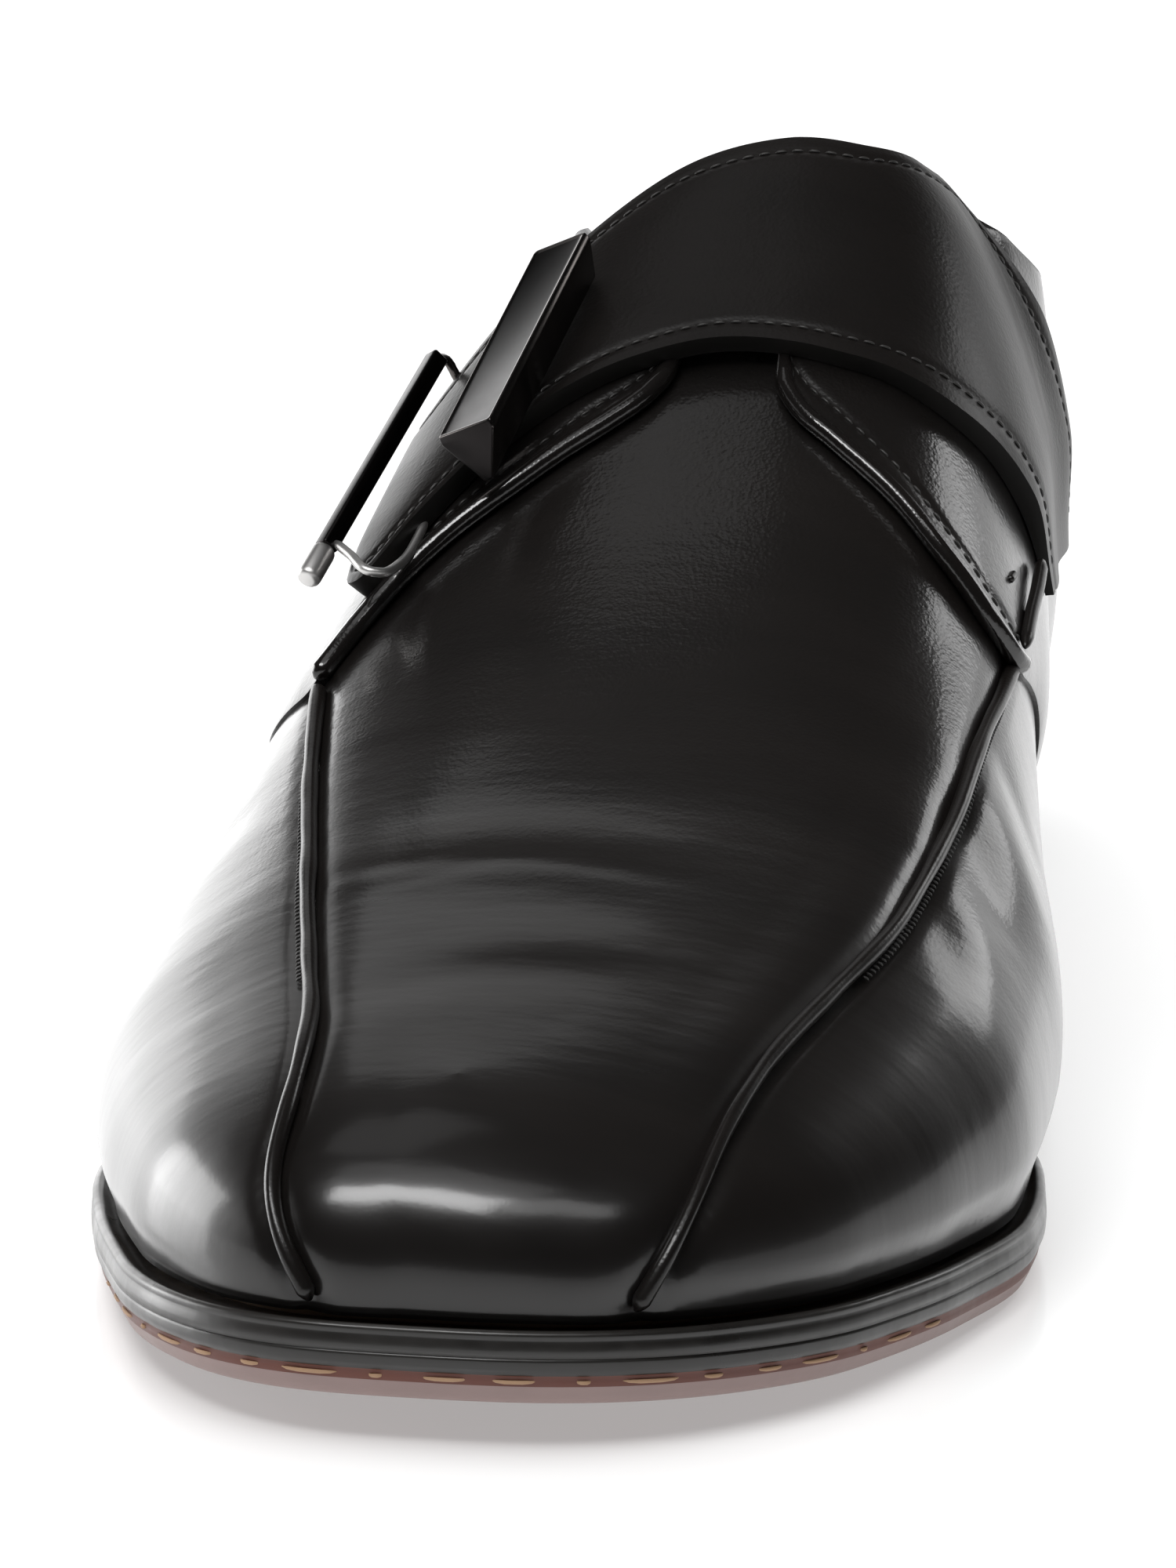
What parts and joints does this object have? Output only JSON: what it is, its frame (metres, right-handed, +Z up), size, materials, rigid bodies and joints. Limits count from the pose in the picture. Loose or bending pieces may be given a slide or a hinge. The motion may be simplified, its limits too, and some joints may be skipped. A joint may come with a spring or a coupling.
{
  "type": "buckle loafer shoe",
  "caption": "Black leather slip-on dress shoe for the right foot, with raised plug seams, a buckled strap over the instep, a welted leather sole and a stacked heel.",
  "frame": {"origin": "middle of the shoe's box in plan, on the floor", "axes": "toe towards -Y, heel towards +Y, lateral side with the buckle towards -X, +Z up"},
  "size_m": [0.101, 0.2993, 0.1051],
  "materials": {
    "black_leather": "polished fine grain",
    "black_edge": "waxed edge",
    "sole_leather": "stained",
    "heel_leather": "waxed edge",
    "heel_rubber": "matt",
    "lining": "natural",
    "gunmetal": "dark plated",
    "bright_steel": "polished"
  },
  "bodies": {
    "root": {"outsole": "sole_leather", "welt": "black_edge", "heel_stack": "heel_leather", "top_lift": "heel_rubber", "insole": "lining", "upper": "black_leather", "tongue": "black_leather", "plug_seam_lateral": "black_leather", "plug_seam_medial": "black_leather", "quarter_lateral": "black_leather", "quarter_medial": "black_leather", "strap": "black_leather", "buckle_plate": "gunmetal", "buckle_frame": "gunmetal", "buckle_pin": "bright_steel"}
  },
  "joints": []
}
